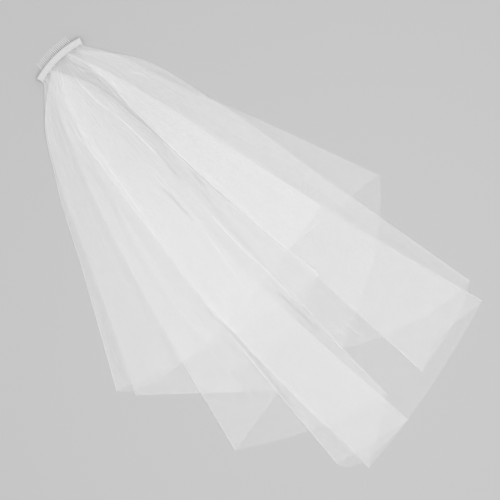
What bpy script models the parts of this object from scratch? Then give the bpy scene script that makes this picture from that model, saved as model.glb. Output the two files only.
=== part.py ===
"""Two-tier bridal veil of plain tulle, laid out flat in its folds.

Both tiers are gathered into one curved ribbon band on a hair comb. The comb points towards +Y and
the cloth spreads towards -Y. The work is done from the middle of the gathered edge, with s the
distance along the veil from the comb to the hem and t the distance to its right. At the end the
whole veil is centred over the origin, with the surface that it lies on at z = 0.
"""

import math
from collections import namedtuple

import bmesh
import bpy
import numpy as np
from mathutils import Vector

# Cloth, metres
LOWER_LENGTH = 0.918
UPPER_LENGTH = 0.634
HEM_HALF_SPREAD = 0.302
HEADER_HALF_WIDTH = 0.0504
HEADER_RADIUS = 0.180
CLOTH_WALL = 0.001
LAYER_GAP = 0.0008
HEADER_LAYER_GAP = 0.0003
GATHER_RUN = 0.15
DRAPE_SLOPE = 0.5
FLOOR_ROOM = 0.0002

# Header band
BAND_WIDTH = 0.0135
BAND_WALL = 0.001
BAND_BACK_ROOM = 0.007
BAND_END_ROOM = 0.001
BAND_STEPS = 24

# Comb
COMB_LENGTH = 0.076
SPINE_WIDTH = 0.006
SPINE_HEIGHT = 0.003
SPINE_SETBACK = 0.003
TOOTH_COUNT = 22
TOOTH_LENGTH = 0.023
TOOTH_ROOT_RADIUS = 0.0008
TOOTH_TIP_RADIUS = 0.00045
TOOTH_RISE = 0.0007

# Fits
CLEARANCE = 0.0003

# Mesh fineness
COLUMN_WIDTH = 0.036
LOWER_STATIONS = 17
UPPER_STATIONS = 14
STATION_POWER = 2.0

# Where each fold's course is given, as shares of its own run from the header to the hem. The
# folds lie straight within the band, up to its mouth
BAND_SHARE = 0.018
COURSE = (0.0, BAND_SHARE, 0.1, 0.3, 0.6, 1.0)

# One row a fold, in the order in which the cloth is laid down, so a later row lies on top.
# header: share of HEADER_HALF_WIDTH. near, upper, middle, hem: shares of HEM_HALF_SPREAD at the
# last four stations of COURSE. reach: share of the tier's length at the hem. bow: how far the hem
# bulges between this fold and the next, as a share of the tier's length, and peak: where, as a
# share of the way across.
Fold = namedtuple("Fold", "name header near upper middle hem reach bow peak")

LOWER_FOLDS = (
    Fold("left end", -0.930, -0.183, -0.318, -0.495, -0.578, 0.724, 0.000, 0.50),
    Fold("left outer", -1.000, -0.295, -0.509, -0.742, -1.061, 0.581, 0.000, 0.50),
    Fold("left inner", -0.790, -0.131, -0.215, -0.341, -0.423, 0.769, 0.000, 0.50),
    Fold("left second", -0.860, -0.229, -0.420, -0.631, -0.864, 0.793, 0.014, 0.50),
    Fold("middle inner", -0.510, 0.011, 0.037, 0.016, 0.018, 0.922, 0.000, 0.50),
    Fold("middle left", -0.580, -0.245, -0.310, -0.374, -0.364, 1.000, 0.000, 0.50),
    Fold("middle right", -0.290, -0.061, -0.075, -0.082, 0.000, 0.985, 0.000, 0.50),
    Fold("middle under", -0.360, -0.175, -0.278, -0.391, -0.483, 0.951, 0.045, 0.30),
    Fold("right outer", 0.345, 0.143, 0.320, 0.501, 0.811, 0.918, -0.016, 0.60),
    Fold("right inner", 0.275, 0.118, 0.112, 0.183, 0.262, 0.936, 0.012, 0.60),
    Fold("right second", 0.775, 0.307, 0.485, 0.640, 0.840, 0.873, 0.020, 0.50),
    Fold("right under", 0.705, 0.095, 0.109, 0.053, 0.012, 0.795, 0.026, 0.60),
    Fold("right end", 0.964, 0.251, 0.379, 0.612, 0.894, 0.602, 0.000, 0.50),
)

UPPER_FOLDS = (
    Fold("left end", -0.964, -0.161, -0.281, -0.473, -0.578, 0.974, 0.037, 0.50),
    Fold("middle inner", -0.440, 0.015, 0.083, 0.123, 0.226, 0.952, 0.028, 0.40),
    Fold("left outer", -0.510, -0.267, -0.507, -0.769, -1.126, 0.793, 0.070, 0.35),
    Fold("right outer", 0.420, 0.121, 0.229, 0.348, 0.513, 0.818, 0.000, 0.50),
    Fold("right inner", 0.350, 0.102, 0.108, 0.126, 0.185, 0.838, 0.004, 0.50),
    Fold("right end", 0.964, 0.251, 0.389, 0.610, 0.882, 0.864, 0.000, 0.50),
)

# The pile of laid cloth is kept on a fan of cells that narrows towards the band
PILE_ROWS = 200
PILE_COLUMNS = 420
PILE_HALF_ANGLE_SHARE = 1.25
FAN_RUN = 0.52
FAN_POWER = 0.85
SAMPLES_ACROSS = 18
SAMPLES_ALONG = 14
SETTLING_PASSES = 40

# Heights above the surface that follow from the fits
BAND_FLOOR = SPINE_HEIGHT + CLEARANCE
HEADER_LIFT = BAND_FLOOR + BAND_WALL + CLEARANCE + CLOTH_WALL / 2
BAND_INNER_RADIUS = HEADER_RADIUS + BAND_BACK_ROOM - BAND_WIDTH
LEVEL_RUN = 0.027
SPINE_RADIUS = HEADER_RADIUS - SPINE_SETBACK


def clear_scene():
    """Start from an empty scene."""
    for old in list(bpy.data.objects):
        bpy.data.objects.remove(old, do_unlink=True)


def new_collection(name):
    """Return a new collection linked to the scene."""
    group = bpy.data.collections.new(name)
    bpy.context.scene.collection.children.link(group)
    return group


def material(name, colour, roughness, metallic=0.0):
    """Return a Principled material."""
    surface = bpy.data.materials.new(name)
    surface.use_nodes = True
    shader = surface.node_tree.nodes["Principled BSDF"]
    shader.inputs["Base Color"].default_value = (*colour, 1.0)
    shader.inputs["Roughness"].default_value = roughness
    shader.inputs["Metallic"].default_value = metallic
    return surface


def ease(share):
    """Smooth step from 0 to 1."""
    share = np.clip(share, 0.0, 1.0)
    return share * share * (3.0 - 2.0 * share)


def header_start(t):
    """Distance s of the gathered edge, an arc about the point s = HEADER_RADIUS."""
    return HEADER_RADIUS - np.sqrt(HEADER_RADIUS ** 2 - t ** 2)


def smooth_course(shares, values):
    """Cubic curve through the values at the stations of COURSE, read at the given shares.

    It lies straight between the first two, within the band.
    """
    knots = np.array(COURSE)
    values = np.array(values)
    slopes = np.gradient(values, knots)
    slopes[:2] = 0.0
    cell = np.clip(np.searchsorted(knots, shares, side="right") - 1, 0, len(knots) - 2)
    span = knots[cell + 1] - knots[cell]
    x = (shares - knots[cell]) / span
    rise = 3.0 * x ** 2 - 2.0 * x ** 3
    leave = (x - 2.0 * x ** 2 + x ** 3) * span * slopes[cell]
    arrive = (x ** 3 - x ** 2) * span * slopes[cell + 1]
    return values[cell] + (values[cell + 1] - values[cell]) * rise + leave + arrive


def fold_course(fold, shares):
    """Distance t of a fold at each share of its run."""
    spread = HEM_HALF_SPREAD
    header = fold.header * HEADER_HALF_WIDTH
    places = (header, header, fold.near * spread, fold.upper * spread, fold.middle * spread,
              fold.hem * spread)
    return smooth_course(shares, places)


def panel_columns(fold, following, length):
    """Number of columns in the panel between two folds."""
    across = (following.hem - fold.hem) * HEM_HALF_SPREAD
    along = (following.reach - fold.reach) * length
    wanted = math.ceil(math.hypot(across, along) / COLUMN_WIDTH)
    header = abs(following.header - fold.header) * HEADER_HALF_WIDTH
    return max(2, min(wanted, int(header / (0.7 * CLOTH_WALL))))


def panel_grid(fold, following, length, stations):
    """Places s and t of one flat panel between two folds, a row a station."""
    shares = BAND_SHARE + (1.0 - BAND_SHARE) * (np.arange(stations) / (stations - 1)) ** STATION_POWER
    shares = np.append(0.0, shares)
    across = np.linspace(0.0, 1.0, panel_columns(fold, following, length) + 1)
    left = fold_course(fold, shares)[:, None]
    right = fold_course(following, shares)[:, None]
    t = left + (right - left) * across
    lean = math.log(0.5) / math.log(fold.peak)
    bulge = 4.0 * across ** lean * (1.0 - across ** lean)
    reach = fold.reach + (following.reach - fold.reach) * across + fold.bow * bulge
    start = header_start(t[0])
    s = start + (reach * length - start) * shares[:, None]
    return s, t


def facet_weights():
    """Shares of a cell's four corners in points spread over its two triangles."""
    across, along = np.meshgrid(np.linspace(0.0, 1.0, SAMPLES_ACROSS),
                                np.linspace(0.0, 1.0, SAMPLES_ALONG))
    across = across.ravel()
    along = along.ravel()
    near_left = 1.0 - np.maximum(across, along)
    near_right = np.maximum(across - along, 0.0)
    far_left = np.maximum(along - across, 0.0)
    far_right = np.minimum(across, along)
    return np.stack((near_left, near_right, far_left, far_right))


def facet_points(grid, weights):
    """Values of a grid at points spread over the two triangles of every cell."""
    corners = (grid[:-1, :-1], grid[:-1, 1:], grid[1:, :-1], grid[1:, 1:])
    return np.stack(corners, axis=2) @ weights


def corner_highest(cells):
    """Highest of the cells that meet at each corner of a grid."""
    framed = np.pad(cells, 1)
    near = np.maximum(framed[:-1, :-1], framed[:-1, 1:])
    far = np.maximum(framed[1:, :-1], framed[1:, 1:])
    return np.maximum(near, far)


def rest_on_pile(need, weights):
    """Low heights of a grid's corners that keep its facets over what they lie on."""
    rows, columns, _ = need.shape
    enough = corner_highest(need.max(axis=2))
    lift = np.zeros((rows + 1, columns + 1))
    row, column = np.indices((rows, columns))
    corner_rows = np.stack((row, row, row + 1, row + 1), axis=2)
    corner_columns = np.stack((column, column + 1, column, column + 1), axis=2)
    for _ in range(SETTLING_PASSES):
        short = need - facet_points(lift, weights)
        worst = short.argmax(axis=2)
        depth = np.maximum(short.max(axis=2), 0.0)
        share = weights.T[worst]
        rise = depth[:, :, None] * share / (share ** 2).sum(axis=2, keepdims=True)
        raised = np.zeros_like(lift)
        np.maximum.at(raised, (corner_rows, corner_columns), rise)
        lift = np.minimum(lift + raised, enough)
    short = need - facet_points(lift, weights)
    return lift + corner_highest(np.maximum(short.max(axis=2), 0.0))


def drape_across(lift, s, t):
    """Let no column lie lower beside its neighbour than the drape's slope allows."""
    fall = DRAPE_SLOPE * np.hypot(np.diff(s, axis=1), np.diff(t, axis=1))
    draped = lift.copy()
    columns = draped.shape[1]
    for column in range(1, columns):
        draped[:, column] = np.maximum(draped[:, column], draped[:, column - 1] - fall[:, column - 1])
    for column in range(columns - 2, -1, -1):
        draped[:, column] = np.maximum(draped[:, column], draped[:, column + 1] - fall[:, column])
    return draped


class Pile:
    """How high the next layer must lie over what is laid already."""

    def __init__(self):
        self.lift = np.zeros((PILE_ROWS, PILE_COLUMNS))

    def cell(self, s, t):
        """Row and column of a place."""
        s = np.maximum(s, 0.0)
        fan = np.minimum(1.0, (s / FAN_RUN) ** FAN_POWER)
        half = HEADER_HALF_WIDTH * (1.0 - fan) + HEM_HALF_SPREAD * fan
        row = (s / LOWER_LENGTH) ** (1.0 / STATION_POWER) * (PILE_ROWS - 4)
        column = (t / (half * PILE_HALF_ANGLE_SHARE) + 1.0) / 2.0 * (PILE_COLUMNS - 1)
        row = np.clip(np.rint(row), 0, PILE_ROWS - 1).astype(int)
        column = np.clip(np.rint(column), 0, PILE_COLUMNS - 1).astype(int)
        return row, column

    def highest(self, s, t):
        """Lift needed at a place and within a little more than a wall of it."""
        reach = CLOTH_WALL + CLEARANCE
        lifts = []
        for across in (-reach, 0.0, reach):
            for along in (-reach, 0.0, reach):
                lifts.append(self.lift[self.cell(s + along, t + across)])
        return np.max(lifts, axis=0)

    def lay(self, s, t, lift):
        """Add a layer of cloth."""
        gather = ease(s / GATHER_RUN)
        gap = HEADER_LAYER_GAP + (LAYER_GAP - HEADER_LAYER_GAP) * gather
        np.maximum.at(self.lift, self.cell(s, t), lift + CLOTH_WALL + gap)


def ground(s):
    """Height of the middle of the lowest layer, down from the band to the surface."""
    floor = CLOTH_WALL / 2 + FLOOR_ROOM
    return HEADER_LIFT + (floor - HEADER_LIFT) * ease((s - LEVEL_RUN) / GATHER_RUN)


def lay_tier(folds, length, stations, pile):
    """Lay a tier's panels one on another and return its corners as one grid."""
    weights = facet_weights()
    panels = []
    for fold, following in zip(folds, folds[1:]):
        s, t = panel_grid(fold, following, length, stations)
        sample_s = facet_points(s, weights)
        sample_t = facet_points(t, weights)
        lift = rest_on_pile(pile.highest(sample_s, sample_t), weights)
        lift = drape_across(lift, s, t)
        pile.lay(sample_s, sample_t, facet_points(lift, weights))
        panels.append(np.stack((t, -s, ground(s) + lift), axis=2))
    return np.concatenate(panels, axis=1)


def height_in_band(corners):
    """Highest place of a tier between the leaves of the band."""
    weights = facet_weights()
    x, y, z = (facet_points(corners[:, :, axis], weights) for axis in range(3))
    radius = np.hypot(x, y + HEADER_RADIUS)
    held = (radius > BAND_INNER_RADIUS - CLEARANCE) & (y > -HEADER_RADIUS)
    return z[held].max()


def cloth_object(name, corners, surface, group):
    """Make a tier from its grid of corners and give it its wall."""
    rows, columns, _ = corners.shape
    sheet = bmesh.new()
    grid = [[sheet.verts.new(corners[row, column]) for column in range(columns)]
            for row in range(rows)]
    for row in range(rows - 1):
        for column in range(columns - 1):
            near_left = grid[row][column]
            near_right = grid[row][column + 1]
            far_left = grid[row + 1][column]
            far_right = grid[row + 1][column + 1]
            sheet.faces.new((near_left, near_right, far_right))
            sheet.faces.new((near_left, far_right, far_left))
    mesh = bpy.data.meshes.new(name)
    sheet.to_mesh(mesh)
    sheet.free()
    cloth = bpy.data.objects.new(name, mesh)
    group.objects.link(cloth)
    wall = cloth.modifiers.new("Wall", "SOLIDIFY")
    wall.thickness = CLOTH_WALL
    wall.offset = 0.0
    wall.use_even_offset = True
    cloth.data.materials.append(surface)
    return cloth


def make_band(stack_top, surface, group):
    """Ribbon folded over the gathered edge: a C profile turned about the header's centre."""
    low = BAND_FLOOR + BAND_WALL / 2
    high = stack_top + CLEARANCE + BAND_WALL / 2
    bend = (high - low) / 2
    outer = HEADER_RADIUS + BAND_BACK_ROOM - BAND_WALL / 2
    inner = BAND_INNER_RADIUS
    profile = [(inner, high)]
    bend_steps = 8
    for step in range(bend_steps + 1):
        angle = math.pi / 2 - math.pi * step / bend_steps
        # The fold of the ribbon is flatter than a half circle
        profile.append((outer - bend / 2 + bend / 2 * math.cos(angle),
                        low + bend + bend * math.sin(angle)))
    profile.append((inner, low))
    half_angle = math.asin((HEADER_HALF_WIDTH + BAND_END_ROOM) / HEADER_RADIUS)
    start = math.pi / 2 - half_angle
    ribbon = bmesh.new()
    corners = [ribbon.verts.new((radius * math.cos(start), radius * math.sin(start), height))
               for radius, height in profile]
    for first, second in zip(corners, corners[1:]):
        ribbon.edges.new((first, second))
    mesh = bpy.data.meshes.new("header_band")
    ribbon.to_mesh(mesh)
    ribbon.free()
    band = bpy.data.objects.new("header_band", mesh)
    group.objects.link(band)
    band.location = (0.0, -HEADER_RADIUS, 0.0)
    turn = band.modifiers.new("Arc", "SCREW")
    turn.angle = 2 * half_angle
    turn.steps = BAND_STEPS
    turn.render_steps = BAND_STEPS
    turn.use_smooth_shade = True
    turn.merge_threshold = 0.0001
    wall = band.modifiers.new("Wall", "SOLIDIFY")
    wall.thickness = BAND_WALL
    wall.offset = 0.0
    wall.use_even_offset = True
    band.data.materials.append(surface)
    return band


def mesh_from_curve(curve, group):
    """Turn a curve object into a closed mesh object in its place."""
    bpy.context.view_layer.update()
    graph = bpy.context.evaluated_depsgraph_get()
    mesh = bpy.data.meshes.new_from_object(curve.evaluated_get(graph))
    welded = bmesh.new()
    welded.from_mesh(mesh)
    bmesh.ops.remove_doubles(welded, verts=welded.verts, dist=1e-6)
    bmesh.ops.recalc_face_normals(welded, faces=welded.faces)
    welded.to_mesh(mesh)
    welded.free()
    name = curve.name
    matrix = curve.matrix_world.copy()
    bpy.data.objects.remove(curve, do_unlink=True)
    solid = bpy.data.objects.new(name, mesh)
    mesh.name = name
    solid.matrix_world = matrix
    group.objects.link(solid)
    return solid


def spine_outline():
    """Closed outline of the comb's spine: two arcs joined by round ends."""
    half_angle = math.asin((COMB_LENGTH - SPINE_WIDTH) / 2 / SPINE_RADIUS)
    arc_steps = 16
    end_steps = 6
    points = []
    for side in (1, -1):
        radius = SPINE_RADIUS + side * SPINE_WIDTH / 2
        for step in range(arc_steps + 1):
            angle = side * half_angle * (2 * step / arc_steps - 1)
            points.append((-radius * math.sin(angle), radius * math.cos(angle) - HEADER_RADIUS))
        end_angle = side * half_angle
        centre = Vector((-SPINE_RADIUS * math.sin(end_angle),
                         SPINE_RADIUS * math.cos(end_angle) - HEADER_RADIUS))
        for step in range(1, end_steps):
            turn = math.pi / 2 * side + end_angle + math.pi * step / end_steps
            points.append((centre.x + SPINE_WIDTH / 2 * math.cos(turn),
                           centre.y + SPINE_WIDTH / 2 * math.sin(turn)))
    return points


def make_spine(group):
    """Flat curved bar of the comb."""
    curve = bpy.data.curves.new("comb", "CURVE")
    curve.dimensions = "2D"
    curve.fill_mode = "BOTH"
    curve.extrude = SPINE_HEIGHT / 2
    spline = curve.splines.new("POLY")
    points = spine_outline()
    spline.points.add(len(points) - 1)
    for point, (x, y) in zip(spline.points, points):
        point.co = (x, y, 0.0, 1.0)
    spline.use_cyclic_u = True
    spine = bpy.data.objects.new("comb", curve)
    spine.location = (0.0, 0.0, SPINE_HEIGHT / 2)
    group.objects.link(spine)
    return mesh_from_curve(spine, group)


def make_teeth(group):
    """Row of parallel tapered teeth, rooted inside the spine."""
    curve = bpy.data.curves.new("comb_teeth", "CURVE")
    curve.dimensions = "3D"
    curve.bevel_depth = TOOTH_ROOT_RADIUS
    curve.bevel_resolution = 1
    curve.use_fill_caps = True
    half_row = COMB_LENGTH / 2 - SPINE_WIDTH / 2
    root_height = SPINE_HEIGHT / 2
    stations = (0.0, 0.25, 0.5, 0.75, 0.93, 1.0)
    for tooth in range(TOOTH_COUNT):
        x = half_row * (2 * tooth / (TOOTH_COUNT - 1) - 1)
        spine_middle = math.sqrt(SPINE_RADIUS ** 2 - x ** 2) - HEADER_RADIUS
        run = SPINE_WIDTH / 2 + TOOTH_LENGTH
        spline = curve.splines.new("POLY")
        spline.points.add(len(stations) - 1)
        for point, share in zip(spline.points, stations):
            droop = (root_height - 2 * TOOTH_TIP_RADIUS) * share ** 2
            height = root_height + TOOTH_RISE * math.sin(math.pi * share) - droop
            taper = 1.0 + (TOOTH_TIP_RADIUS / TOOTH_ROOT_RADIUS - 1.0) * share
            tip = 0.55 if share == 1.0 else 1.0
            point.co = (x, spine_middle + run * share, height, 1.0)
            point.radius = taper * tip
    teeth = bpy.data.objects.new("comb_teeth", curve)
    group.objects.link(teeth)
    return mesh_from_curve(teeth, group)


def make_comb(surface, group, guides):
    """Spine and teeth joined into one body."""
    comb = make_spine(group)
    teeth = make_teeth(guides)
    teeth.hide_render = True
    teeth.display_type = "WIRE"
    join = comb.modifiers.new("Teeth", "BOOLEAN")
    join.operation = "UNION"
    join.solver = "EXACT"
    join.object = teeth
    comb.data.shade_smooth()
    comb.data.set_sharp_from_angle(angle=math.radians(40))
    comb.data.materials.append(surface)
    return comb, teeth


def centre_on_origin(pieces, carried):
    """Parent everything to one empty and move it so that the pieces' box is centred."""
    bpy.context.view_layer.update()
    graph = bpy.context.evaluated_depsgraph_get()
    corners = []
    for piece in pieces:
        shape = piece.evaluated_get(graph)
        corners += [shape.matrix_world @ Vector(corner) for corner in shape.bound_box]
    low = [min(corner[axis] for corner in corners) for axis in range(3)]
    high = [max(corner[axis] for corner in corners) for axis in range(3)]
    stand = bpy.data.objects.new("Veil placement", None)
    pieces[0].users_collection[0].objects.link(stand)
    for piece in carried:
        piece.parent = stand
    stand.location = (-(low[0] + high[0]) / 2, -(low[1] + high[1]) / 2, -low[2])
    bpy.context.view_layer.update()


def main():
    """Build the veil."""
    clear_scene()
    veil = new_collection("Bridal veil")
    guides = new_collection("Guides")
    tulle = material("White tulle", (0.93, 0.93, 0.94), 0.85)
    satin = material("White satin ribbon", (0.90, 0.90, 0.90), 0.45)
    plastic = material("Clear comb plastic", (0.86, 0.87, 0.88), 0.2)

    pile = Pile()
    lower_grid = lay_tier(LOWER_FOLDS, LOWER_LENGTH, LOWER_STATIONS, pile)
    upper_grid = lay_tier(UPPER_FOLDS, UPPER_LENGTH, UPPER_STATIONS, pile)
    lower = cloth_object("lower_tier", lower_grid, tulle, veil)
    upper = cloth_object("upper_tier", upper_grid, tulle, veil)
    stack_top = max(height_in_band(lower_grid), height_in_band(upper_grid)) + CLOTH_WALL / 2
    band = make_band(stack_top, satin, veil)
    comb, teeth = make_comb(plastic, veil, guides)
    pieces = (comb, band, lower, upper)
    centre_on_origin(pieces, (*pieces, teeth))


main()
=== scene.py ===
"""Two-tier bridal veil of sheer tulle, laid out flat on a studio floor."""

import math
from collections import namedtuple

import bmesh
import bpy
import numpy as np
from bpy.props import FloatProperty, FloatVectorProperty, PointerProperty
from mathutils import Matrix, Vector


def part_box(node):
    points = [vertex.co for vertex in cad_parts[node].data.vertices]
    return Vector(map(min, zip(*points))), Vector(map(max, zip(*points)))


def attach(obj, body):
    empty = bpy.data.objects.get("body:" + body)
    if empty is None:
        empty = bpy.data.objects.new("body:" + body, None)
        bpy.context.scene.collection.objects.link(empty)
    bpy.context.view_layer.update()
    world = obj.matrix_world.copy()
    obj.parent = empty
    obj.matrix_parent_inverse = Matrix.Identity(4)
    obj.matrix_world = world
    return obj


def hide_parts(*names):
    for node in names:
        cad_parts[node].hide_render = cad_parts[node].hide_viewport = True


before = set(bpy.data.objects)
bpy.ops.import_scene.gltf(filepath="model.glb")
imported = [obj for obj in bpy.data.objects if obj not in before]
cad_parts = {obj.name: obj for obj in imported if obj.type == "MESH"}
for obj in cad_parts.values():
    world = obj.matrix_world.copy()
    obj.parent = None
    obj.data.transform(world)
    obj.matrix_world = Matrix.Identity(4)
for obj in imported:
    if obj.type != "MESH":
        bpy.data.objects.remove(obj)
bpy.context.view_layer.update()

bl_info = {
    "name": "Bridal Veil",
    "version": (1, 0, 0),
    "blender": (4, 5, 0),
    "location": "3D View > Sidebar > Veil",
    "description": "Lays out a two-tier tulle veil on its comb, with a studio stage",
    "category": "Object",
}

# Cut of the cloth and the comb end, metres
LOWER_LENGTH = 0.918
UPPER_LENGTH = 0.634
HEM_HALF_SPREAD = 0.302
HEADER_HALF_WIDTH = 0.0504
HEADER_RADIUS = 0.180

# Band: its wall and rooms as in the solids, its height fitted to the thinner cloth
BAND_BACK_ROOM = 0.007
BAND_WIDTH = 0.0135
BAND_WALL = 0.001
BAND_END_ROOM = 0.001
BAND_HEIGHT = 0.0088
RIBBON_WALL = 0.0007
RIBBON_STEPS_ALONG = 220
RIBBON_STEPS_ROUND = 36
PUCKER_WAVES = 210.0
PUCKER_CHANGE_WAVES = 57.0
PUCKER_CHANGE = 0.4

# Stitches: distance from the ribbon's edge, room over the ribbon, half sizes and lean
STITCH_INSET = 0.0018
STITCH_ROOM = 0.0003
STITCH_HALF_SIZES = (0.0010, 0.00025, 0.00018)
STITCH_LEAN = 0.25
STITCH_LEAN_STEP = 2.1

# Shares of a fold's run at which its course is given, and the share of the straight slope
# to the next station with which the course leaves the band
BAND_SHARE = 0.018
COURSE = (0.0, BAND_SHARE, 0.1, 0.3, 0.6, 1.0)
COURSE_EASE = 0.9

# One row a fold, in the order in which the cloth is laid down.
# header: share of HEADER_HALF_WIDTH. near, upper, middle, hem: shares of HEM_HALF_SPREAD.
# reach: share of the tier's length at the hem. bow and peak: bulge of the hem between this fold
# and the next, as a share of the length, and where it is highest, as a share of the way across.
Fold = namedtuple("Fold", "name header near upper middle hem reach bow peak")

LOWER_FOLDS = (
    Fold("left end", -0.930, -0.183, -0.318, -0.495, -0.578, 0.724, 0.000, 0.50),
    Fold("left outer", -1.000, -0.295, -0.509, -0.742, -1.061, 0.581, 0.000, 0.50),
    Fold("left inner", -0.790, -0.131, -0.215, -0.341, -0.423, 0.769, 0.000, 0.50),
    Fold("left second", -0.860, -0.229, -0.420, -0.631, -0.864, 0.793, 0.014, 0.50),
    Fold("middle inner", -0.510, 0.011, 0.037, 0.016, 0.018, 0.922, 0.000, 0.50),
    Fold("middle left", -0.580, -0.245, -0.310, -0.374, -0.364, 1.000, 0.000, 0.50),
    Fold("middle right", -0.290, -0.061, -0.075, -0.082, 0.000, 0.985, 0.000, 0.50),
    Fold("middle under", -0.360, -0.175, -0.278, -0.391, -0.483, 0.951, 0.045, 0.30),
    Fold("right outer", 0.345, 0.143, 0.320, 0.501, 0.811, 0.918, -0.016, 0.60),
    Fold("right inner", 0.275, 0.118, 0.112, 0.183, 0.262, 0.936, 0.012, 0.60),
    Fold("right second", 0.775, 0.307, 0.485, 0.640, 0.840, 0.873, 0.020, 0.50),
    Fold("right under", 0.705, 0.095, 0.109, 0.053, 0.012, 0.795, 0.026, 0.60),
    Fold("right end", 0.964, 0.251, 0.379, 0.612, 0.894, 0.602, 0.000, 0.50),
)

UPPER_FOLDS = (
    Fold("left end", -0.964, -0.161, -0.281, -0.473, -0.578, 0.974, 0.037, 0.50),
    Fold("middle inner", -0.440, 0.015, 0.083, 0.123, 0.226, 0.952, 0.028, 0.40),
    Fold("left outer", -0.510, -0.267, -0.507, -0.769, -1.126, 0.793, 0.070, 0.35),
    Fold("right outer", 0.420, 0.121, 0.229, 0.348, 0.513, 0.818, 0.000, 0.50),
    Fold("right inner", 0.350, 0.102, 0.108, 0.126, 0.185, 0.838, 0.004, 0.50),
    Fold("right end", 0.964, 0.251, 0.389, 0.610, 0.882, 0.864, 0.000, 0.50),
)

# Seeds of the two tiers' pleats
LOWER_SEED = 11
UPPER_SEED = 37

# One row a crease that runs through the pile: cover is the extra light that it stops; below
# nothing it lets more of the grey floor through, a painted shade line; width is half its width
# in metres, and points are its places s and t in millimetres.
Crease = namedtuple("Crease", "name cover width points")

CREASES = (
    Crease("centre near", 0.13, 0.0026,
           ((8, 2), (70, -4), (106, -3), (147, 3), (180, 6), (241, 7), (279, 9), (315, 5))),
    Crease("centre far", 0.14, 0.0030,
           ((315, 5), (363, 4), (391, 2), (455, 0), (539, 4), (625, 6), (689, -1))),
    Crease("left fold near", 0.09, 0.0028,
           ((66, -70), (107, -69), (186, -76), (273, -89), (357, -96), (409, -97))),
    Crease("left fold far", 0.10, 0.0032,
           ((409, -97), (457, -107), (536, -113), (630, -117), (719, -115), (785, -114),
            (879, -110))),
    Crease("left second", 0.08, 0.0030,
           ((80, -60), (140, -62), (210, -72), (290, -82), (370, -90))),
    Crease("left middle", 0.08, 0.0028,
           ((192, -7), (264, -16), (340, -20), (379, -21), (470, -36), (560, -52))),
    Crease("gather hook", 0.14, 0.0022, ((26, 7), (48, 17), (61, 25), (77, 40))),
    Crease("gather curl", 0.13, 0.0022, ((64, 52), (95, 42), (123, 35), (159, 31), (192, 34))),
    Crease("gather side", 0.11, 0.0020, ((93, 64), (120, 84), (151, 103))),
    Crease("gather left", 0.10, 0.0020, ((111, -3), (140, -14), (165, -15), (190, -24))),
    Crease("gather low", 0.09, 0.0020, ((97, -49), (120, -62), (150, -60))),
    Crease("strip edge", 0.11, 0.0026, ((192, 34), (273, 35), (330, 45), (420, 52), (500, 58))),
    Crease("right ridge", 0.10, 0.0024, ((681, 37), (716, 43), (759, 46))),
    Crease("second right ridge", 0.08, 0.0022, ((673, 19), (719, 25))),
    Crease("hem ridge", 0.08, 0.0024, ((796, 1), (844, 4))),
    # Painted shade: these creases take cover away, so the grey floor shows through as dark lines
    # where folds cast shadows
    Crease("centre shade", -0.26, 0.0020, ((233, 11), (276, 9), (322, 6))),
    Crease("strip shade", -0.24, 0.0020, ((301, 33), (330, 30), (365, 27))),
    Crease("left shade", -0.22, 0.0022, ((281, -31), (320, -26), (386, -29))),
    Crease("far shade", -0.26, 0.0022, ((560, -10), (638, -5), (689, -5))),
    Crease("outer shade", -0.26, 0.0026,
           ((490, -121), (580, -118), (640, -122), (714, -130), (788, -137))),
)

# Ridge of a crease: its rise, how deep a painted-shade crease may sink, and the run in which
# its ends fade, a length and a share of its own run
CREASE_RISE = 0.0007
CREASE_SINK = 0.0003
CREASE_FADE = 0.010
CREASE_FADE_SHARE = 0.25
MILLIMETRES = 1000.0

# Mesh fineness of the cloth, and the bend between two panels
COLUMN_WIDTH = 0.0042
FEWEST_COLUMNS = 4
ROW_LENGTH = 0.0080
ROW_POWER = 1.15
BEND_EDGE = 0.0022
BEND_STEPS = 3
BEND_BULGE = 0.0012

# Sideways shift of the net's cells from one panel to the next
NET_SHIFT = 0.1373

# The pile of laid cloth, kept on a fan of cells that narrows towards the band
PILE_ROWS = 420
PILE_SPARE_ROWS = 8
PILE_COLUMNS = 520
PILE_MARGIN = 1.25
FAN_RUN = 0.52
FAN_POWER = 0.85
FILL_STEPS = (0.0, 1 / 3, 2 / 3)
DRAPE_SLOPE = 0.22

# Way of the cloth down from the band to the floor
LEVEL_RUN = 0.027
GATHER_RUN = 0.15
FLOOR_ROOM = 0.0006
CLOTH_ROOM = 0.0008

# Flutes of the whole pile: share of the swell's height, waves and start in radians over half
# the pile's width, and turn down the cloth
Flute = namedtuple("Flute", "height waves start turn")
FLUTES = (Flute(0.30, 9.0, 1.2, 0.0), Flute(0.20, 17.0, 2.4, 1.5))
SWELL_RUN = 0.25

# Pleats of the gathers: a sum of waves, each with its own count, wander and run. The sum
# is divided by about its top, and each pleat is at most a share of its spacing high.
PLEAT_PARTS = 5
PLEAT_TOP = 2.4
FIRST_COUNT = 0.5
COUNT_STEP = 0.35
COUNT_CHANCE = 0.25
WANDER = 0.5
WANDER_RUN = 0.05
WANDER_RUN_CHANCE = 0.05
FADE_RUN = 0.10
FADE_RUN_CHANCE = 0.28
FADE_POWER = 1.5
FEWEST_PLEATS = 2.0
PLEAT_SLOPE = 0.10
PLEAT_EDGE_POWER = 0.3
PLEAT_START_RUN = 0.05
GATHER_FADE = 0.055

# The tulle's name, and the labels of what the cloth's mesh keeps for it
TULLE_NAME = "Bridal tulle"
NET_MAP = "Net"
FOLD_LAYER = "fold"
COVER_LAYER = "cover"
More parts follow.
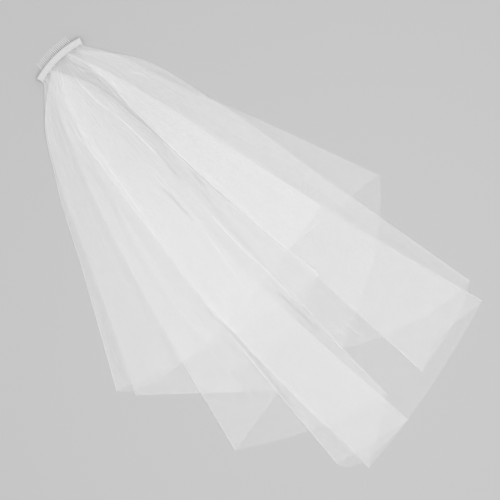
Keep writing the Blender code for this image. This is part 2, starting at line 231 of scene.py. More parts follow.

# Look of the tulle: distances from a cell's edge, in cells, between which a thread ends, the
# cover's clouds and limits, and the run of s over which the yarn's painted shade fades to full
# white
NET_RANDOMNESS = 0.35
THREAD_START = 0.05
THREAD_END = 0.16
CLOUD_STRETCH = (26.0, 3.0, 1.0)
CLOUD_COVER = 0.06
COVER_LEAST = 0.06
COVER_MOST = 0.92
PAINTED_SHADE_START = 0.10
PAINTED_SHADE_END = 0.38
PAINTED_SHADE_SHARE = 0.987
YARN_GLOW = 0.45

# Look of the ribbon: second tone, dark checks of the weave, and depth of all fine relief
RIBBON_TONE = 0.9
WEAVE_CHECK = 0.93
RELIEF_DEPTH = 0.0002

# Stage: floor, softbox and the camera's aim and turn, with the comb at the upper left
FLOOR_HALF = 25.0
SOFTBOX_SIDE = 1.8
SOFTBOX_PLACE = (0.10, -0.35, 2.3)
AIM_S = 0.4876
AIM_T = 0.0084
PHOTO_RIGHT = (0.7193, -0.6947, 0.0)
PHOTO_UP = (0.6947, 0.7193, 0.0)
SENSOR_WIDTH = 36.0

# Bounces that light needs to come through the whole pile of net
CLEAR_BOUNCES = 48
ALL_BOUNCES = 24
CLOTH_BOUNCES = 20

# Places of the veil's own frame: s runs from the header to the hem, t to the right
BAND_LOW, BAND_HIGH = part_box("header_band")
ORIGIN_X = (BAND_LOW.x + BAND_HIGH.x) / 2
ORIGIN_Y = BAND_HIGH.y - BAND_BACK_ROOM
HEADER_LIFT = BAND_LOW.z + BAND_WALL + CLOTH_ROOM

# A laid panel: grids of its places, of its height and of its extra cover, and its hem's width
Panel = namedtuple("Panel", "s t z cover width")

# A column of a tier's sheet: its places, 1 along a fold, its extra cover and its net's shift
Column = namedtuple("Column", "s t z fold cover shift")


def ease(share):
    """Smooth step from 0 to 1."""
    share = np.clip(share, 0.0, 1.0)
    return share * share * (3.0 - 2.0 * share)


def header_start(t):
    """Distance s of the gathered edge, an arc about the point s = HEADER_RADIUS."""
    return HEADER_RADIUS - np.sqrt(HEADER_RADIUS ** 2 - t ** 2)


def smooth_course(shares, values):
    """Cubic curve through the values at the stations of COURSE, straight within the band."""
    knots = np.array(COURSE)
    values = np.array(values)
    slopes = np.gradient(values, knots)
    slopes[0] = 0.0
    slopes[1] = COURSE_EASE * (values[2] - values[1]) / (knots[2] - knots[1])
    cell = np.clip(np.searchsorted(knots, shares, side="right") - 1, 0, len(knots) - 2)
    arriving = np.where(cell == 0, 0.0, slopes[cell + 1])
    span = knots[cell + 1] - knots[cell]
    x = (shares - knots[cell]) / span
    rise = 3.0 * x ** 2 - 2.0 * x ** 3
    leave = (x - 2.0 * x ** 2 + x ** 3) * span * slopes[cell]
    arrive = (x ** 3 - x ** 2) * span * arriving
    return values[cell] + (values[cell + 1] - values[cell]) * rise + leave + arrive


def fold_course(fold, shares):
    """Distance t of a fold at each share of its run."""
    header = fold.header * HEADER_HALF_WIDTH
    stations = (fold.near, fold.upper, fold.middle, fold.hem)
    places = (header, header, *[share * HEM_HALF_SPREAD for share in stations])
    return smooth_course(shares, places)


def hem_width(fold, following, length):
    """Width of a panel at its hem."""
    across = (following.hem - fold.hem) * HEM_HALF_SPREAD
    along = (following.reach - fold.reach) * length
    return math.hypot(across, along)


def panel_places(fold, following, length):
    """Places s and t on a panel's fine grid, and the grid's shares across the panel."""
    rows = int(length / ROW_LENGTH)
    shares = (np.arange(rows + 1) / rows) ** ROW_POWER
    width = hem_width(fold, following, length)
    edge = BEND_EDGE / width
    inner = np.linspace(edge, 1.0 - edge, max(FEWEST_COLUMNS, int(width / COLUMN_WIDTH)))
    across = np.concatenate(([0.0], inner, [1.0]))
    left = fold_course(fold, shares)[:, None]
    right = fold_course(following, shares)[:, None]
    t = left + (right - left) * across
    # A parabola over the panel, leaned so that its top is at the fold's peak
    lean = math.log(0.5) / math.log(fold.peak)
    bulge = 4.0 * across ** lean * (1.0 - across ** lean)
    reach = fold.reach + (following.reach - fold.reach) * across + fold.bow * bulge
    start = header_start(t[0])
    s = start + (reach * length - start) * shares[:, None]
    return s, t, across


def pile_fan(s):
    """How far the fan of cells has opened at a distance s, 0 to 1, and half its width there."""
    fan = np.minimum(1.0, (np.maximum(s, 0.0) / FAN_RUN) ** FAN_POWER)
    return fan, HEADER_HALF_WIDTH * (1.0 - fan) + HEM_HALF_SPREAD * fan


def between(grid, step, side):
    """Values of a grid part of the way along and across each of its cells."""
    near = grid[:-1, :-1] * (1 - side) + grid[:-1, 1:] * side
    far = grid[1:, :-1] * (1 - side) + grid[1:, 1:] * side
    return near * (1 - step) + far * step


class Pile:
    """How high the next layer must lie over what is laid already."""

    def __init__(self, gap):
        self.lift = np.zeros((PILE_ROWS, PILE_COLUMNS))
        self.gap = gap

    def cell(self, s, t):
        """Row and column of a place."""
        _, half = pile_fan(s)
        share = np.maximum(s, 0.0) / LOWER_LENGTH
        row = share ** (1.0 / ROW_POWER) * (PILE_ROWS - PILE_SPARE_ROWS)
        column = (t / (half * PILE_MARGIN) + 1.0) / 2.0 * (PILE_COLUMNS - 1)
        row = np.clip(np.rint(row), 0, PILE_ROWS - 1).astype(int)
        column = np.clip(np.rint(column), 0, PILE_COLUMNS - 1).astype(int)
        return row, column

    def add(self, s, t, lift):
        """Raise the cells of places that carry a layer at the given lifts."""
        np.maximum.at(self.lift, self.cell(s, t), lift + self.gap)

    def lay(self, s, t, lift):
        """Add a layer of cloth, filled in between its grid's places."""
        for step in FILL_STEPS:
            for side in FILL_STEPS:
                self.add(*[between(values, step, side) for values in (s, t, lift)])
        self.add(s, t, lift)

    def need(self, s, t):
        """Lift needed at a place and close around it."""
        row, column = self.cell(s, t)
        lifts = []
        for row_step in (-1, 0, 1):
            for column_step in (-1, 0, 1):
                near_row = np.clip(row + row_step, 0, PILE_ROWS - 1)
                near_column = np.clip(column + column_step, 0, PILE_COLUMNS - 1)
                lifts.append(self.lift[near_row, near_column])
        return np.max(lifts, axis=0)


def drape_rows(lift, distance):
    """Raise rows so that none lies lower beside its neighbour than the drape's slope allows."""
    fall = DRAPE_SLOPE * distance
    for row in range(1, len(lift)):
        lift[row] = np.maximum(lift[row], lift[row - 1] - fall[row - 1])
    for row in range(len(lift) - 2, -1, -1):
        lift[row] = np.maximum(lift[row], lift[row + 1] - fall[row])


def drape(need, s, t):
    """Let a panel fall gently away from what it lies on, to both sides and lengthwise."""
    lift = need.copy()
    drape_rows(lift.T, np.hypot(np.diff(s, axis=1), np.diff(t, axis=1)).T)
    drape_rows(lift, np.hypot(np.diff(s, axis=0), np.diff(t, axis=0)))
    return lift


def ground(s):
    """Height of the lowest layer, down from the band to the floor."""
    return HEADER_LIFT + (FLOOR_ROOM - HEADER_LIFT) * ease((s - LEVEL_RUN) / GATHER_RUN)


def swell(s, t, height):
    """Soft flutes that run the length of the whole pile, alike in all its layers."""
    fan, half = pile_fan(s)
    side = t / half
    # The flutes' heights make a half together, so the share stays between 0 and 1
    share = 0.5
    for flute in FLUTES:
        share = share + flute.height * np.sin(flute.waves * side + flute.start + flute.turn * fan)
    return height * share * ease(s / SWELL_RUN)


def pleats(across, s, count, seed):
    """Fine ridges that start in the gathers and fade down the cloth, from about -1 to 1."""
    chance = np.random.default_rng(seed)
    value = np.zeros((len(s), len(across)))
    for part in range(PLEAT_PARTS):
        waves = count * (FIRST_COUNT + COUNT_STEP * part + COUNT_CHANCE * chance.random())
        wander = WANDER * chance.standard_normal()
        wander = wander * np.sin(s / (WANDER_RUN + WANDER_RUN_CHANCE * chance.random()))
        phase = 2 * math.pi * (waves * across + chance.random()) + wander
        run = FADE_RUN + FADE_RUN_CHANCE * chance.random()
        value += np.sin(phase) * np.exp(-(s / run) ** FADE_POWER)
    return value / PLEAT_TOP


def creases(s, t):
    """Rise and extra cover of the creases, each a soft ridge about its line; shade creases sink
    and paint shade lines by taking cover away.
    """
    rise = np.zeros(s.shape)
    cover = np.zeros(s.shape)
    for crease in CREASES:
        points = np.array(crease.points) / MILLIMETRES
        nearest = np.full(s.shape, np.inf)
        for (s0, t0), (s1, t1) in zip(points, points[1:]):
            span = (s1 - s0) ** 2 + (t1 - t0) ** 2
            share = np.clip(((s - s0) * (s1 - s0) + (t - t0) * (t1 - t0)) / span, 0.0, 1.0)
            away = (s - s0 - share * (s1 - s0)) ** 2 + (t - t0 - share * (t1 - t0)) ** 2
            nearest = np.minimum(nearest, away)
        start = points[0][0]
        end = points[-1][0]
        fade = CREASE_FADE + CREASE_FADE_SHARE * (end - start)
        ends = ease((s - start) / fade) * ease((end - s) / fade)
        ridge = np.exp(-nearest / crease.width ** 2) * ends
        # Cover below nothing paints shade along the shade creases
        cover += crease.cover * ridge
        rise += CREASE_RISE * ridge * np.sign(crease.cover)
    return np.maximum(rise, -CREASE_SINK), cover


def lay_panels(folds, length, pile, settings, seed):
    """Lay a tier's panels one on another, in the order of its folds."""
    panels = []
    for index, (fold, following) in enumerate(zip(folds, folds[1:])):
        s, t, across = panel_places(fold, following, length)
        lift = drape(pile.need(s, t), s, t)
        pile.lay(s, t, lift)
        width = hem_width(fold, following, length)
        count = max(FEWEST_PLEATS, width / settings.pleat_spacing)
        ridge = pleats(across, s, count, seed + index)
        edges = np.sin(np.pi * across) ** PLEAT_EDGE_POWER
        spacing = np.abs(t[:, -1:] - t[:, :1]) / count
        height = np.minimum(settings.pleat_height, PLEAT_SLOPE * spacing)
        rise, cover = creases(s, t)
        z = ground(s) + lift + swell(s, t, settings.swell) + rise
        z += height * (ridge + 1.0) / 2 * edges * ease(s / PLEAT_START_RUN)
        cover += settings.pleat_density * ridge
        cover += settings.gather_density * np.exp(-s / GATHER_FADE)
        panels.append(Panel(s, t, z, cover, width))
    return panels


def bend_columns(panel, following):
    """Places of the round bend by which one panel passes over into the next."""
    s = panel.s[:, -1]
    t = panel.t[:, -1]
    low = panel.z[:, -1]
    high = following.z[:, 0]
    turn = 1.0 if panel.t[-1, -1] > panel.t[-1, 0] else -1.0
    columns = []
    for step in range(1, BEND_STEPS + 1):
        angle = math.pi * step / (BEND_STEPS + 1)
        bulge = np.minimum(BEND_BULGE, (high - low) / 2) * math.sin(angle)
        height = (low + high) / 2 - (high - low) / 2 * math.cos(angle)
        columns.append((s, t + turn * bulge, height))
    return columns


def tier_columns(panels):
    """All columns of a tier's sheet, panel after panel, with the bends between them."""
    columns = []
    last_panel = len(panels) - 1
    for index, panel in enumerate(panels):
        rows, sides = panel.s.shape
        plain = np.zeros(rows)
        whole = np.ones(rows)
        for side in range(sides):
            folded = (side == 0 and index > 0) or (side == sides - 1 and index < last_panel)
            columns.append(Column(panel.s[:, side], panel.t[:, side], panel.z[:, side],
                                  whole if folded else plain, panel.cover[:, side],
                                  NET_SHIFT * index))
        if index < last_panel:
            for s, t, z in bend_columns(panel, panels[index + 1]):
                columns.append(Column(s, t, z, whole, plain, NET_SHIFT * (index + 1)))
    return columns


def add_object(name, data):
    """Add an object to the scene."""
    thing = bpy.data.objects.new(name, data)
    bpy.context.scene.collection.objects.link(thing)
    return thing


def tulle_object(name, columns, surface):
    """Make one tier's sheet, with what its material reads: folds, cover and the net's places."""
    every = Column(*zip(*columns))
    s, t, z, fold, cover = (np.stack(values, axis=1) for values in
                            (every.s, every.t, every.z, every.fold, every.cover))
    places = np.stack((ORIGIN_X + t, ORIGIN_Y - s, z), axis=2).reshape(-1, 3)
    corner = np.arange(s.size).reshape(s.shape)
    faces = np.stack((corner[:-1, :-1], corner[:-1, 1:], corner[1:, 1:], corner[1:, :-1]), axis=2)
    mesh = bpy.data.meshes.new(name)
    mesh.from_pydata(places.tolist(), [], faces.reshape(-1, 4).tolist())
    mesh.shade_smooth()
    for label, values in ((FOLD_LAYER, fold), (COVER_LAYER, cover)):
        layer = mesh.attributes.new(label, "FLOAT", "POINT")
        layer.data.foreach_set("value", values.astype(np.float32).ravel())
    net = np.stack((t + np.array(every.shift), s), axis=2).reshape(-1, 2)
    uv = mesh.uv_layers.new(name=NET_MAP)
    loops = np.empty(len(mesh.loops), dtype=np.int32)
    mesh.loops.foreach_get("vertex_index", loops)
    uv.data.foreach_set("uv", net[loops].astype(np.float32).ravel())
    mesh.materials.append(surface)
    return add_object(name, mesh)


def new_material(name):
    """Return an empty node material and its tree."""
    surface = bpy.data.materials.new(name)
    surface.use_nodes = True
    surface.node_tree.nodes.clear()
    return surface, surface.node_tree


def feed(tree, node, values):
    """Give a node's inputs, by label or number, their values or the sockets that feed them."""
    for label, value in values.items():
        if isinstance(value, bpy.types.NodeSocket):
            tree.links.new(value, node.inputs[label])
        else:
            node.inputs[label].default_value = value


def add_node(tree, kind, values):
    """Add a node, feed its inputs and return its first output."""
    node = tree.nodes.new(kind)
    feed(tree, node, values)
    return node.outputs[0] if node.outputs else None


def math_node(tree, operation, *values):
    """Add a Math node; its inputs are sockets or numbers."""
    node = tree.nodes.new("ShaderNodeMath")
    node.operation = operation
    feed(tree, node, dict(enumerate(values)))
    return node.outputs["Value"]


def smooth_range(tree, value, start, end, low, high):
    """Go smoothly from low to high while a value goes from start to end."""
    node = tree.nodes.new("ShaderNodeMapRange")
    node.interpolation_type = "SMOOTHSTEP"
    feed(tree, node, {"Value": value, "From Min": start, "From Max": end,
                      "To Min": low, "To Max": high})
    return node.outputs["Result"]


def mix_colours(tree, blend, factor, first, second):
    """Mix or multiply two colours."""
    node = tree.nodes.new("ShaderNodeMix")
    node.data_type = "RGBA"
    node.blend_type = blend
    feed(tree, node, {"Factor": factor, "A": first, "B": second})
    return node.outputs["Result"]


def mix_shaders(tree, factor, first, second):
    """Mix two shaders, the second by the factor."""
    return add_node(tree, "ShaderNodeMixShader", {"Fac": factor, 1: first, 2: second})


def relief(tree, height, strength):
    """Normal of a fine relief."""
    return add_node(tree, "ShaderNodeBump",
                    {"Strength": strength, "Distance": RELIEF_DEPTH, "Height": height})


def layer_value(tree, label):
    """Value that the mesh keeps under a label."""
    node = tree.nodes.new("ShaderNodeAttribute")
    node.attribute_name = label
    return node.outputs["Fac"]


def object_place(tree):
    """Place on the object, in metres."""
    return tree.nodes.new("ShaderNodeTexCoord").outputs["Object"]


def net_place(tree):
    """Place on the net of a laid panel, in metres: across, then down the cloth."""
    node = tree.nodes.new("ShaderNodeUVMap")
    node.uv_map = NET_MAP
    return node.outputs["UV"]


def opaque(colour, share=1.0):
    """A colour times a share, with its alpha."""
    return (*[channel * share for channel in colour], 1.0)


def tulle_cover(tree, place, settings):
    """How much light the tulle stops: threads, haze in the cells, folds, gathers and clouds."""
    net = tree.nodes.new("ShaderNodeTexVoronoi")
    net.voronoi_dimensions = "2D"
    net.feature = "DISTANCE_TO_EDGE"
    feed(tree, net, {"Vector": place, "Scale": 1.0 / settings.net_cell,
                     "Randomness": NET_RANDOMNESS})
    thread = smooth_range(tree, net.outputs["Distance"], THREAD_START, THREAD_END,
                          settings.thread_cover, settings.cell_cover)
    stretched = add_node(tree, "ShaderNodeMapping", {"Vector": place, "Scale": CLOUD_STRETCH})
    cloud = add_node(tree, "ShaderNodeTexNoise",
                     {"Vector": stretched, "Scale": 1.0, "Detail": 3.0})
    folded = math_node(tree, "MULTIPLY", layer_value(tree, FOLD_LAYER), settings.fold_density)
    uneven = math_node(tree, "MULTIPLY_ADD", cloud, CLOUD_COVER, -CLOUD_COVER / 2)
    cover = math_node(tree, "ADD", thread, folded)
    cover = math_node(tree, "ADD", cover, layer_value(tree, COVER_LAYER))
    cover = math_node(tree, "ADD", cover, uneven)
    cover = math_node(tree, "MINIMUM", cover, COVER_MOST)
    return math_node(tree, "MAXIMUM", cover, COVER_LEAST)


def tulle_material(settings):
    """Sheer white net, with painted shade: the yarn a touch darker near the band, over the
    gathers.
    """
    surface, tree = new_material(TULLE_NAME)
    place = net_place(tree)
    parts = tree.nodes.new("ShaderNodeSeparateXYZ")
    feed(tree, parts, {"Vector": place})
    # Painted shade: the yarn's colour is a touch darker near the band and fades to its full white
    # down the cloth
    unshaded = smooth_range(tree, parts.outputs["Y"], PAINTED_SHADE_START, PAINTED_SHADE_END, 0.0, 1.0)
    white = mix_colours(tree, "MIX", unshaded, opaque(settings.colour, PAINTED_SHADE_SHARE),
                        opaque(settings.colour))
    yarn = add_node(tree, "ShaderNodeBsdfPrincipled",
                    {"Base Color": white, "Roughness": 0.62, "Sheen Weight": 0.15})
    glow = add_node(tree, "ShaderNodeBsdfTranslucent", {"Color": white})
    body = mix_shaders(tree, YARN_GLOW, yarn, glow)
    clear = add_node(tree, "ShaderNodeBsdfTransparent", {})
    sheer = mix_shaders(tree, tulle_cover(tree, place, settings), clear, body)
    add_node(tree, "ShaderNodeOutputMaterial", {"Surface": sheer})
    return surface


def ribbon_material(settings):
    """White satin ribbon with a fine cross weave and soft sheen."""
    surface, tree = new_material("Satin ribbon")
    place = object_place(tree)
    weave = tree.nodes.new("ShaderNodeTexWave")
    weave.wave_type = "BANDS"
    weave.bands_direction = "X"
    feed(tree, weave, {"Vector": place, "Scale": 900.0, "Distortion": 1.5})
    patch = add_node(tree, "ShaderNodeTexNoise", {"Vector": place, "Scale": 160.0})
    tone = mix_colours(tree, "MIX", patch, opaque(settings.colour),
                       opaque(settings.colour, RIBBON_TONE))
    check = add_node(tree, "ShaderNodeTexChecker",
                     {"Vector": place, "Scale": 1100.0, "Color1": (1.0, 1.0, 1.0, 1.0),
                      "Color2": (WEAVE_CHECK, WEAVE_CHECK, WEAVE_CHECK, 1.0)})
    woven = mix_colours(tree, "MULTIPLY", 1.0, tone, check)
    satin = add_node(tree, "ShaderNodeBsdfPrincipled",
                     {"Base Color": woven, "Roughness": 0.42, "Sheen Weight": 0.25,
                      "Normal": relief(tree, weave.outputs["Fac"], strength=0.35)})
    add_node(tree, "ShaderNodeOutputMaterial", {"Surface": satin})
    return surface


def comb_material(settings):
    """Clear moulded plastic, a little cloudy, with faint flow marks."""
    surface, tree = new_material("Clear comb plastic")
    flow = add_node(tree, "ShaderNodeTexNoise",
                    {"Vector": object_place(tree), "Scale": 240.0, "Detail": 4.0})
    gloss = add_node(tree, "ShaderNodeMapRange", {"Value": flow, "To Min": 0.12, "To Max": 0.28})
    plastic = add_node(tree, "ShaderNodeBsdfPrincipled",
                       {"Base Color": opaque(settings.colour), "IOR": 1.49, "Roughness": gloss,
                        "Normal": relief(tree, flow, strength=0.1)})
    clear = add_node(tree, "ShaderNodeBsdfTransparent", {})
    body = mix_shaders(tree, settings.haze, clear, plastic)
    add_node(tree, "ShaderNodeOutputMaterial", {"Surface": body})
    return surface


def floor_material(settings):
    """Plain matt studio paper."""
    surface, tree = new_material("Studio paper")
    paper = add_node(tree, "ShaderNodeBsdfPrincipled",
                     {"Base Color": opaque(settings.colour), "Roughness": 0.9,
                      "Specular IOR Level": 0.1})
    add_node(tree, "ShaderNodeOutputMaterial", {"Surface": paper})
    return surface


class VeilTulleSettings(bpy.types.PropertyGroup):
    """Sizes and colour of the tulle."""

    colour: FloatVectorProperty(
        name="Colour", description="Colour of the yarn", subtype="COLOR", size=3,
        default=(0.985, 0.985, 0.985), min=0.0, max=1.0)
    layer_gap: FloatProperty(
        name="Layer gap", description="Rise from one layer of the pile to the next",
        default=0.0013, min=0.0004, max=0.003, unit="LENGTH")
    swell: FloatProperty(
        name="Swell", description="Height of the soft flutes of the whole pile",
        default=0.003, min=0.0, max=0.006, unit="LENGTH")
    pleat_height: FloatProperty(
        name="Pleat height", description="Height of the fine ridges from the gathers",
        default=0.0022, min=0.0, max=0.006, unit="LENGTH")
    pleat_spacing: FloatProperty(
        name="Pleat spacing", description="Distance between ridges, measured at the hem",
        default=0.026, min=0.01, max=0.1, unit="LENGTH")
    net_cell: FloatProperty(
        name="Net cell", description="Width of one open cell of the net",
        default=0.0018, min=0.0008, max=0.004, unit="LENGTH")
    thread_cover: FloatProperty(
        name="Thread cover", description="How much light a thread of the net stops",
        default=0.60, min=0.0, max=1.0, subtype="FACTOR")
    cell_cover: FloatProperty(
        name="Cell cover", description="How much light the fine haze in an open cell stops",
        default=0.22, min=0.0, max=1.0, subtype="FACTOR")
    fold_density: FloatProperty(
        name="Fold density", description="Extra cover along a fold",
        default=0.26, min=0.0, max=1.0, subtype="FACTOR")
    pleat_density: FloatProperty(
        name="Pleat density", description="Extra cover on the gathers' ridges",
        default=0.08, min=0.0, max=1.0, subtype="FACTOR")
    gather_density: FloatProperty(
        name="Gather density", description="Extra cover where the net is gathered at the band",
        default=0.12, min=0.0, max=1.0, subtype="FACTOR")


class VeilRibbonSettings(bpy.types.PropertyGroup):
    """Colour and stitching of the band's ribbon."""

    colour: FloatVectorProperty(
        name="Colour", description="Colour of the ribbon", subtype="COLOR", size=3,
        default=(0.74, 0.74, 0.74), min=0.0, max=1.0)
    stitch_pitch: FloatProperty(
        name="Stitch pitch", description="Distance from one stitch to the next",
        default=0.0036, min=0.002, max=0.01, unit="LENGTH")
    pucker: FloatProperty(
        name="Pucker", description="Height of the ribbon's waves over the gathers",
        default=0.0004, min=0.0, max=0.001, unit="LENGTH")


class VeilCombSettings(bpy.types.PropertyGroup):
    """Colour and haze of the comb."""

    colour: FloatVectorProperty(
        name="Colour", description="Tint of the clear plastic", subtype="COLOR", size=3,
        default=(0.97, 0.97, 0.98), min=0.0, max=1.0)
    haze: FloatProperty(
        name="Haze", description="How much light the clear plastic stops",
        default=0.95, min=0.0, max=1.0, subtype="FACTOR")


class VeilStageSettings(bpy.types.PropertyGroup):
    """Floor, light and camera."""

    colour: FloatVectorProperty(
        name="Floor colour", description="Colour of the studio paper", subtype="COLOR", size=3,
        default=(0.53, 0.53, 0.53), min=0.0, max=1.0)
    camera_height: FloatProperty(
        name="Camera height", description="Height of the camera over the floor",
        default=2.2, min=0.5, max=6.0, unit="LENGTH")
    view_width: FloatProperty(
        name="View width", description="Width of the floor that the camera sees",
        default=0.9, min=0.1, max=3.0, unit="LENGTH")
    sky: FloatProperty(
        name="Sky", description="Strength of the even light from all round",
        default=0.62, min=0.0, max=3.0)
    lamp: FloatProperty(
        name="Softbox", description="Power of the large softbox",
        default=31.5, min=0.0, max=500.0, subtype="POWER")


def tulle_surface():
    """The tulle's material, made once for both tiers."""
    known = bpy.data.materials.get(TULLE_NAME)
    return known or tulle_material(bpy.context.scene.veil_tulle)


def declare_tier(cloth, node):
    """Attach a tier's sheet to the root body and hide its CAD part."""
    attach(cloth, "root")
    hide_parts(node)


class VEIL_OT_lower_tier(bpy.types.Operator):
    """Lay the long tier's tulle on the floor in its folds"""

    bl_idname = "veil.lower_tier"
    bl_label = "Lay Lower Tier"
    bl_options = {"REGISTER", "UNDO"}

    def execute(self, context):
        settings = context.scene.veil_tulle
        pile = Pile(settings.layer_gap)
        panels = lay_panels(LOWER_FOLDS, LOWER_LENGTH, pile, settings, LOWER_SEED)
        cloth = tulle_object("lower_tier_tulle", tier_columns(panels), tulle_surface())
        declare_tier(cloth, "lower_tier")
        return {"FINISHED"}


class VEIL_OT_upper_tier(bpy.types.Operator):
    """Lay the short tier's tulle on the long one in its folds"""

    bl_idname = "veil.upper_tier"
    bl_label = "Lay Upper Tier"
    bl_options = {"REGISTER", "UNDO"}

    def execute(self, context):
        settings = context.scene.veil_tulle
        pile = Pile(settings.layer_gap)
        lay_panels(LOWER_FOLDS, LOWER_LENGTH, pile, settings, LOWER_SEED)
        panels = lay_panels(UPPER_FOLDS, UPPER_LENGTH, pile, settings, UPPER_SEED)
        cloth = tulle_object("upper_tier_tulle", tier_columns(panels), tulle_surface())
        declare_tier(cloth, "upper_tier")
        return {"FINISHED"}


def arc_point(radius, angle, height):
    """A point over an arc about the header's centre."""
    return Vector((ORIGIN_X + radius * math.sin(angle),
                   ORIGIN_Y - HEADER_RADIUS + radius * math.cos(angle), height))


def mesh_from(name, built):
    """Turn built faces into a smooth mesh."""
    mesh = bpy.data.meshes.new(name)
    built.to_mesh(mesh)
    built.free()
    mesh.shade_smooth()
    return mesh


def ribbon_point(angle, place, low, high, pucker):
    """A point of the folded ribbon: angle about the header's centre, place 0 to 1 round its C."""
    outer = HEADER_RADIUS + BAND_BACK_ROOM - BAND_WALL / 2
    inner = HEADER_RADIUS + BAND_BACK_ROOM - BAND_WIDTH
    bend = (high - low) / 2
    bulge = bend / 2
    leaf = outer - bulge - inner
    turn = math.pi * (bend + bulge) / 2
    walked = place * (2 * leaf + turn)
    change = 1.0 - PUCKER_CHANGE + PUCKER_CHANGE * math.sin(angle * PUCKER_CHANGE_WAVES)
    wave = pucker * math.sin(angle * PUCKER_WAVES) * change
    if walked < leaf:
        return arc_point(inner + walked, angle, high + wave * (1.0 - walked / leaf))
    if walked > leaf + turn:
        return arc_point(outer - bulge - (walked - leaf - turn), angle, low)
    round_angle = math.pi / 2 - math.pi * (walked - leaf) / turn
    return arc_point(outer - bulge + bulge * math.cos(round_angle), angle,
                     low + bend + bend * math.sin(round_angle))


def ribbon_mesh(settings):
    """Ribbon folded over the gathered edge, with its puckers and its two turned ends."""
    half_angle = math.asin((HEADER_HALF_WIDTH + BAND_END_ROOM) / HEADER_RADIUS)
    low = BAND_LOW.z + BAND_WALL / 2
    high = low + BAND_HEIGHT
    built = bmesh.new()
    rows = []
    for step in range(RIBBON_STEPS_ALONG + 1):
        angle = half_angle * (2 * step / RIBBON_STEPS_ALONG - 1)
        points = [ribbon_point(angle, side / RIBBON_STEPS_ROUND, low, high, settings.pucker)
                  for side in range(RIBBON_STEPS_ROUND + 1)]
        rows.append([built.verts.new(point) for point in points])
    for near, far in zip(rows, rows[1:]):
        for side in range(RIBBON_STEPS_ROUND):
            built.faces.new((near[side], far[side], far[side + 1], near[side + 1]))
    return mesh_from("ribbon_band", built)


def stitch_mesh(settings):
    """Row of hand stitches along the ribbon's edge."""
    half_angle = math.asin(HEADER_HALF_WIDTH / HEADER_RADIUS)
    radius = HEADER_RADIUS + BAND_BACK_ROOM - BAND_WIDTH + STITCH_INSET
    height = BAND_LOW.z + BAND_WALL + BAND_HEIGHT + STITCH_ROOM
    count = int(2 * half_angle * radius / settings.stitch_pitch)
    built = bmesh.new()
    for stitch in range(count):
        angle = half_angle * (2 * (stitch + 0.5) / count - 1)
        lean = STITCH_LEAN * math.sin(stitch * STITCH_LEAN_STEP)
        place = Matrix.Translation(arc_point(radius, angle, height))
        place = place @ Matrix.Rotation(lean - angle, 4, "Z")
        place = place @ Matrix.Diagonal((*STITCH_HALF_SIZES, 1.0))
        bmesh.ops.create_uvsphere(built, u_segments=10, v_segments=6, radius=1.0, matrix=place)
    return mesh_from("band_stitches", built)


class VEIL_OT_band(bpy.types.Operator):
    """Fold the satin ribbon over the gathered edge and stitch it"""

    bl_idname = "veil.band"
    bl_label = "Make Ribbon Band"
    bl_options = {"REGISTER", "UNDO"}

    def execute(self, context):
        settings = context.scene.veil_ribbon
        satin = ribbon_material(settings)
        ribbon = add_object("ribbon_band", ribbon_mesh(settings))
        stitches = add_object("band_stitches", stitch_mesh(settings))
        wall = ribbon.modifiers.new("Wall", "SOLIDIFY")
        wall.thickness = RIBBON_WALL
        wall.offset = 0.0
        for piece in (ribbon, stitches):
            piece.data.materials.append(satin)
            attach(piece, "root")
        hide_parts("header_band")
        return {"FINISHED"}


class VEIL_OT_comb(bpy.types.Operator):
    """Finish the comb in clear plastic"""

    bl_idname = "veil.comb"
    bl_label = "Finish Comb"
    bl_options = {"REGISTER", "UNDO"}

    def execute(self, context):
        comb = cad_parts["comb"]
        surface = comb_material(context.scene.veil_comb)
        if not comb.material_slots:
            comb.data.materials.append(surface)
        for slot in comb.material_slots:
            slot.material = surface
        return {"FINISHED"}


def make_floor(settings):
    """Large sheet of studio paper under the veil."""
    half = FLOOR_HALF
    mesh = bpy.data.meshes.new("studio_floor")
    corners = [(-half, -half, 0.0), (half, -half, 0.0), (half, half, 0.0), (-half, half, 0.0)]
    mesh.from_pydata(corners, [], [(0, 1, 2, 3)])
    mesh.materials.append(floor_material(settings))
    add_object("studio_floor", mesh)


def make_light(settings):
    """Even sky and one large softbox overhead, a little towards the hem."""
    world = bpy.data.worlds.new("Studio")
    world.use_nodes = True
    sky = world.node_tree.nodes["Background"]
    sky.inputs["Color"].default_value = (1.0, 1.0, 1.0, 1.0)
    sky.inputs["Strength"].default_value = settings.sky
    bpy.context.scene.world = world
    lamp = bpy.data.lights.new("Softbox", "AREA")
    lamp.shape = "RECTANGLE"
    lamp.size = SOFTBOX_SIDE
    lamp.size_y = SOFTBOX_SIDE
    lamp.energy = settings.lamp
    box = add_object("Softbox", lamp)
    box.location = SOFTBOX_PLACE
    box.rotation_euler = (-box.location).to_track_quat("-Z", "Y").to_euler()


def make_camera(settings):
    """Camera straight above the veil, turned so that the comb is at the upper left."""
    right = Vector(PHOTO_RIGHT).normalized()
    up = Vector(PHOTO_UP).normalized()
    place = Vector((ORIGIN_X + AIM_T, ORIGIN_Y - AIM_S, settings.camera_height))
    lens = bpy.data.cameras.new("Above")
    lens.sensor_width = SENSOR_WIDTH
    lens.lens = SENSOR_WIDTH * settings.camera_height / settings.view_width
    camera = add_object("Above", lens)
    turn = Matrix((right, up, right.cross(up))).transposed().to_4x4()
    camera.matrix_world = Matrix.Translation(place) @ turn
    bpy.context.scene.camera = camera


class VEIL_OT_stage(bpy.types.Operator):
    """Set up the floor, the soft light and the camera above the veil"""

    bl_idname = "veil.stage"
    bl_label = "Set Stage"
    bl_options = {"REGISTER", "UNDO"}

    def execute(self, context):
        settings = context.scene.veil_stage
        make_floor(settings)
        make_light(settings)
        make_camera(settings)
        return {"FINISHED"}


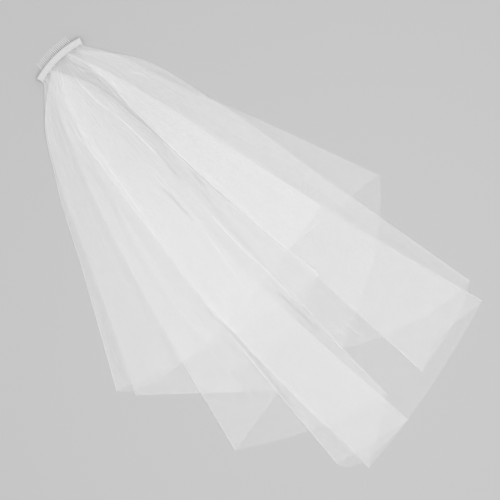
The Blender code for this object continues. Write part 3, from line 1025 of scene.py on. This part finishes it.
class VEIL_PT_panel(bpy.types.Panel):
    """Pieces of the veil and their settings"""

    bl_idname = "VEIL_PT_panel"
    bl_label = "Bridal Veil"
    bl_space_type = "VIEW_3D"
    bl_region_type = "UI"
    bl_category = "Veil"

    def draw(self, context):
        layout = self.layout
        groups = (
            ("Tulle", context.scene.veil_tulle, ("veil.lower_tier", "veil.upper_tier")),
            ("Ribbon", context.scene.veil_ribbon, ("veil.band",)),
            ("Comb", context.scene.veil_comb, ("veil.comb",)),
            ("Stage", context.scene.veil_stage, ("veil.stage",)),
        )
        for title, settings, operators in groups:
            box = layout.box()
            box.label(text=title)
            for name in settings.__annotations__:
                box.prop(settings, name)
            for operator in operators:
                box.operator(operator)


CLASSES = (
    VeilTulleSettings,
    VeilRibbonSettings,
    VeilCombSettings,
    VeilStageSettings,
    VEIL_OT_lower_tier,
    VEIL_OT_upper_tier,
    VEIL_OT_band,
    VEIL_OT_comb,
    VEIL_OT_stage,
    VEIL_PT_panel,
)


def register():
    """Register the classes and their settings."""
    for kind in CLASSES:
        bpy.utils.register_class(kind)
    bpy.types.Scene.veil_tulle = PointerProperty(type=VeilTulleSettings)
    bpy.types.Scene.veil_ribbon = PointerProperty(type=VeilRibbonSettings)
    bpy.types.Scene.veil_comb = PointerProperty(type=VeilCombSettings)
    bpy.types.Scene.veil_stage = PointerProperty(type=VeilStageSettings)


def unregister():
    """Remove the settings and the classes."""
    del bpy.types.Scene.veil_stage
    del bpy.types.Scene.veil_comb
    del bpy.types.Scene.veil_ribbon
    del bpy.types.Scene.veil_tulle
    for kind in reversed(CLASSES):
        bpy.utils.unregister_class(kind)


def main():
    """Make every piece in order."""
    register()
    scene = bpy.context.scene
    scene.view_settings.view_transform = "Standard"
    scene.cycles.transparent_max_bounces = CLEAR_BOUNCES
    scene.cycles.max_bounces = ALL_BOUNCES
    scene.cycles.diffuse_bounces = CLOTH_BOUNCES
    scene.cycles.transmission_bounces = CLOTH_BOUNCES
    bpy.ops.veil.stage()
    bpy.ops.veil.comb()
    bpy.ops.veil.band()
    bpy.ops.veil.lower_tier()
    bpy.ops.veil.upper_tier()


if __name__ == "__main__":
    main()
